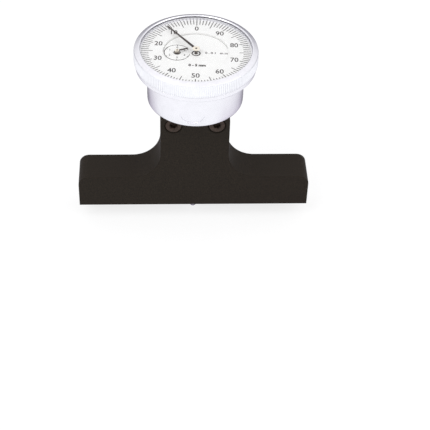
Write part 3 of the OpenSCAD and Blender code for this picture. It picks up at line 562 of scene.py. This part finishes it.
class Printing:
    """Thin raised shapes, gathered into one mesh."""

    def __init__(self, level):
        self.bm = bmesh.new()
        self.low, self.high = level - INK_UNDER, level + INK_T

    def shape(self, corners):
        low = [self.bm.verts.new(Vector((x, y, self.low)) * MM) for x, y in corners]
        high = [self.bm.verts.new(Vector((x, y, self.high)) * MM) for x, y in corners]
        self.bm.faces.new(high)
        self.bm.faces.new(list(reversed(low)))
        for i in range(len(corners)):
            m = (i + 1) % len(corners)
            self.bm.faces.new([low[i], low[m], high[m], high[i]])

    def tick(self, angle, r0, r1, width, cx=0.0, cy=0.0):
        side = Vector(around(0, 0, width / 2, angle + 90))
        near, far = Vector(around(cx, cy, r0, angle)), Vector(around(cx, cy, r1, angle))
        self.shape([tuple(p) for p in (near - side, far - side, far + side, near + side)])

    def ring(self, cx, cy, r, width, start, end, steps):
        inside = arc(cx, cy, r - width / 2, start, end, steps)
        outside = arc(cx, cy, r + width / 2, start, end, steps)
        for k in range(steps):
            self.shape([inside[k], outside[k], outside[k + 1], inside[k + 1]])

    def text(self, words, x, y, size, turn=0.0, narrow=1.0, bold=0.0, spacing=1.0):
        if "4" in words and bold > 0:  # a thickened 4 closes up, so it is drawn twice, side by side
            for aside in (-bold, bold):
                self.text(words, x + aside, y, size, turn, narrow, 0.0, spacing)
            return
        curve = bpy.data.curves.new("words", "FONT")
        curve.body, curve.size = words, size * MM
        curve.align_x, curve.align_y = "CENTER", "CENTER"
        curve.extrude = (self.high - self.low) / 2 * MM
        curve.offset = bold * MM
        curve.space_character = spacing
        curve.resolution_u = 4
        obj = bpy.data.objects.new("words", curve)
        bpy.context.scene.collection.objects.link(obj)
        graph = bpy.context.evaluated_depsgraph_get()
        mesh = bpy.data.meshes.new_from_object(obj.evaluated_get(graph))
        level = (self.low + self.high) / 2
        mesh.transform(shift(x, y, level) @ turn_z(turn) @ Matrix.Diagonal((narrow, 1, 1, 1)))
        self.bm.from_mesh(mesh)
        bpy.data.objects.remove(obj)
        bpy.data.curves.remove(curve)
        bpy.data.meshes.remove(mesh)

    def finish(self, name, body):
        mesh = bpy.data.meshes.new(name)
        bmesh.ops.recalc_face_normals(self.bm, faces=self.bm.faces)
        self.bm.to_mesh(mesh)
        self.bm.free()
        new_object(name, mesh, ink_and_shade, body)


top = 90 + DIAL_TURN  # the direction of the dial's top

scale = Printing(DIAL_Z)
for i in range(100):
    inmost = TICK_TEN if i % 10 == 0 else TICK_FIVE if i % 5 == 0 else TICK_ONE
    scale.tick(top + 3.6 * i, inmost, TICK_OUT, 0.36 if i % 10 == 0 else 0.30)
for k in range(10):
    scale.text(str(10 * k), *around(0, 0, FIGURE_R, top + 36 * k), FIGURE_SIZE, turn=DIAL_TURN,
               narrow=0.86, bold=0.055)
scale.finish("dial_scale", "bezel")

centre = Printing(CENTRE_Z)
cx, cy = around(0, 0, COUNTER_X, 180 + HEAD_TURN)
for width, start, end, steps in ((0.22, 42, 130, 22), (0.32, 130, 300, 42), (0.22, 300, 345, 12)):
    centre.ring(cx, cy, SMALL_R, width, start, end, steps)  # open beside the main hub
for k in range(6):
    centre.tick(top + 60 * k, 4.6, SMALL_R, 0.24 if k else 0.3, cx, cy)
    centre.text(str(k), *around(cx, cy, SMALL_FIGURE_R, top + 60 * k), SMALL_FIGURE_SIZE,
                turn=DIAL_TURN, narrow=0.9, bold=0.02)
centre.text("0.01 mm", 8.4, 0.0, 1.8, turn=DIAL_TURN, bold=0.05, spacing=1.55)
centre.text("0 - 5 mm", 0.2, -8.3, 2.1, turn=DIAL_TURN, narrow=0.9, bold=0.12)
# painted shade: dark rings round the main and small holes, and a thin arc on the far side of the
# centre disc's edge, stand in for the shade in the holes and on the seam's far wall
centre.ring(0, 0, MAIN_HOLE_R - 0.12, 0.52, 0, 360, 48)
centre.ring(0, 0, CENTRE_R - 0.12, 0.12, 15, 175, 80)
centre.ring(cx, cy, SMALL_HOLE_R + 0.12, 0.24, 0, 360, 36)
centre.finish("dial_print_and_painted_shade", "gauge_frame")

# ---------------------------------------------------------------- floor, light and camera

FLOOR_LEVEL = -(REACH + 0.2) * MM  # just under the contact point
FLOOR_FRONT, FLOOR_SIDE, FLOOR_FAR = (0.93, 0.94, 0.97), (0.72, 0.68, 0.77), (0.32, 0.31, 0.34)
FLOOR_OUTER, GREY_GAP = (0.97, 0.97, 1.0), (0.52, 0.51, 0.58)
FLOOR_GLOW, WORLD_LIGHT = (0.76, 0.76, 0.76), (0.76, 0.76, 0.77)
FLOOR_DIFFUSE = 0.9
LESS_SEEN, LESS_MIRRORED = 0.6, 0.78  # taken off FLOOR_DIFFUSE where the glow is added
# where one colour of the floor gives way to the next: start and end, in metres
NEAR_TO_FAR, OUTER_TO_FAR, NEAR_TO_OUTER = (0.055, 0.075), (0.11, 0.15), (0.095, 0.102)
GAP_DIRECTION, GAP_EDGE = (-0.17, -0.985, 0), (0.980, 0.992)  # the edge as the angle's cosines
SKY_EDGE = (0.08, 0.36)  # upward part of a direction, from the horizon's colours to the sky's
REAR_X, REAR_Y = 0.36, 0.93  # the direction to the back and a little to the right
LIT_POINT = (0, 0, 0.05)


def math_node(nt, operation, a, b):
    """A Math node fed by sockets or plain numbers."""
    node = nt.nodes.new("ShaderNodeMath")
    node.operation = operation
    for slot, value in zip(node.inputs, (a, b)):
        if isinstance(value, (int, float)):
            slot.default_value = value
        else:
            nt.links.new(value, slot)
    return node.outputs[0]


def ramp_node(nt, factor, stops):
    """A colour ramp over (position, colour) stops."""
    node = nt.nodes.new("ShaderNodeValToRGB")
    elements = node.color_ramp.elements
    while len(elements) < len(stops):
        elements.new(0.5)
    for element, (position, color) in zip(elements, stops):
        element.position, element.color = position, (*color, 1)
    nt.links.new(factor, node.inputs["Fac"])
    return node.outputs["Color"]


def mix_node(nt, factor, a, b):
    """a where factor is 0 and b where it is 1, each a socket or a plain colour."""
    node = nt.nodes.new("ShaderNodeMix")
    node.data_type = "RGBA"
    nt.links.new(factor, node.inputs["Factor"])
    for slot, value in (("A", a), ("B", b)):
        if isinstance(value, tuple):
            node.inputs[slot].default_value = (*value, 1)
        else:
            nt.links.new(value, node.inputs[slot])
    return node.outputs["Result"]


def between(nt, value, low, high):
    """0 up to low, 1 from high on, and even between the two."""
    node = nt.nodes.new("ShaderNodeMapRange")
    node.inputs["From Min"].default_value = low
    node.inputs["From Max"].default_value = high
    nt.links.new(value, node.inputs["Value"])
    return node.outputs["Result"]


def split_node(nt, vector):
    """The x, y and z of a vector."""
    node = nt.nodes.new("ShaderNodeSeparateXYZ")
    nt.links.new(vector, node.inputs[0])
    return node.outputs["X"], node.outputs["Y"], node.outputs["Z"]


def scaled(nt, value, factor, offset):
    return math_node(nt, "ADD", math_node(nt, "MULTIPLY", value, factor), offset)


def rearwards(nt, x, y):
    """How far a place or direction lies towards the rear."""
    across, along = math_node(nt, "MULTIPLY", x, REAR_X), math_node(nt, "MULTIPLY", y, REAR_Y)
    return math_node(nt, "ADD", across, along)


def floor_material():
    """White to the camera, with the object's shadow. Metal sees it white in front of the object,
    lavender grey beside and behind it, and dark far behind."""
    mat = bpy.data.materials.new("floor_white")
    mat.use_nodes = True
    nt = mat.node_tree
    nt.nodes.remove(nt.nodes["Principled BSDF"])
    path = nt.nodes.new("ShaderNodeLightPath")
    seen, mirrored = path.outputs["Is Camera Ray"], path.outputs["Is Glossy Ray"]
    place = nt.nodes.new("ShaderNodeTexCoord").outputs["Object"]
    x, y = split_node(nt, place)[:2]
    reach = nt.nodes.new("ShaderNodeVectorMath")
    reach.operation = "LENGTH"
    nt.links.new(place, reach.inputs[0])
    near = ramp_node(nt, scaled(nt, rearwards(nt, x, y), 4.0, 0.5),
                     [(0.36, FLOOR_FRONT), (0.48, FLOOR_SIDE)])
    near = mix_node(nt, between(nt, y, *NEAR_TO_FAR), near, FLOOR_FAR)
    outer = mix_node(nt, between(nt, y, *OUTER_TO_FAR), FLOOR_OUTER, FLOOR_FAR)
    shown = mix_node(nt, between(nt, reach.outputs["Value"], *NEAR_TO_OUTER), near, outer)
    light = mix_node(nt, mirrored, FLOOR_GLOW, shown)
    less = math_node(nt, "ADD", math_node(nt, "MULTIPLY", seen, LESS_SEEN),
                     math_node(nt, "MULTIPLY", mirrored, LESS_MIRRORED))
    diffuse = nt.nodes.new("ShaderNodeBsdfDiffuse")
    nt.links.new(math_node(nt, "SUBTRACT", FLOOR_DIFFUSE, less), diffuse.inputs["Color"])
    glow = nt.nodes.new("ShaderNodeEmission")
    nt.links.new(light, glow.inputs["Color"])
    nt.links.new(math_node(nt, "MAXIMUM", seen, mirrored), glow.inputs["Strength"])
    add = nt.nodes.new("ShaderNodeAddShader")
    nt.links.new(diffuse.outputs[0], add.inputs[0])
    nt.links.new(glow.outputs[0], add.inputs[1])
    nt.links.new(add.outputs[0], nt.nodes["Material Output"].inputs["Surface"])
    return mat


bpy.ops.mesh.primitive_plane_add(size=6, location=(0, 0, FLOOR_LEVEL))
floor = bpy.context.object
floor.name = "floor"
floor.data.materials.append(floor_material())


def studio_world():
    """Plain light. Metal sees a pale horizon in front, with a grey gap straight ahead, a dark one
    behind and a bright sky."""
    world = bpy.data.worlds.new("studio")
    world.use_nodes = True
    nt = world.node_tree
    direction = nt.nodes.new("ShaderNodeTexCoord").outputs["Generated"]
    x, y, z = split_node(nt, direction)
    horizon = ramp_node(nt, scaled(nt, rearwards(nt, x, y), 0.5, 0.5),
                        [(0.0, (0.97, 0.97, 1.0)), (0.12, (0.92, 0.92, 0.96)),
                         (0.32, (0.45, 0.44, 0.48)), (1.0, (0.30, 0.29, 0.33))])
    above = ramp_node(nt, z, [(0.36, (0.96, 0.95, 0.98)), (0.7, (0.98, 0.96, 1.0))])
    ahead = nt.nodes.new("ShaderNodeVectorMath")
    ahead.operation = "DOT_PRODUCT"
    ahead.inputs[1].default_value = GAP_DIRECTION
    nt.links.new(direction, ahead.inputs[0])
    horizon = mix_node(nt, between(nt, ahead.outputs["Value"], *GAP_EDGE), horizon, GREY_GAP)
    sky = mix_node(nt, between(nt, z, *SKY_EDGE), horizon, above)
    path = nt.nodes.new("ShaderNodeLightPath")
    mirrored = mix_node(nt, path.outputs["Is Glossy Ray"], WORLD_LIGHT, sky)
    shown = mix_node(nt, path.outputs["Is Camera Ray"], mirrored, (1, 1, 1))
    nt.links.new(shown, nt.nodes["Background"].inputs["Color"])
    return world


bpy.context.scene.world = studio_world()


def area_light(name, energy, place):
    light = bpy.data.lights.new(name, "AREA")
    light.shape = "SQUARE"
    light.size = 0.5
    light.energy = energy
    obj = bpy.data.objects.new(name, light)
    bpy.context.scene.collection.objects.link(obj)
    obj.location = place
    obj.rotation_euler = (Vector(LIT_POINT) - Vector(place)).to_track_quat("-Z", "Y").to_euler()


area_light("key", 1.9, (-0.45, -0.35, 0.75))
area_light("fill", 0.95, (0.55, -0.25, 0.55))

camera = bpy.data.objects.new("camera", bpy.data.cameras.new("camera"))
bpy.context.scene.collection.objects.link(camera)
camera.data.sensor_fit = "HORIZONTAL"
camera.data.sensor_width = 36
camera.data.lens = 102.938
camera.data.clip_start = 0.01
camera.location = (-0.017467, -0.412975, 0.372445)
camera.rotation_euler = Euler([math.radians(v) for v in (46.9424, -1.6268, -2.3323)], "XYZ")
bpy.context.scene.camera = camera

bpy.context.scene.view_settings.view_transform = "Standard"
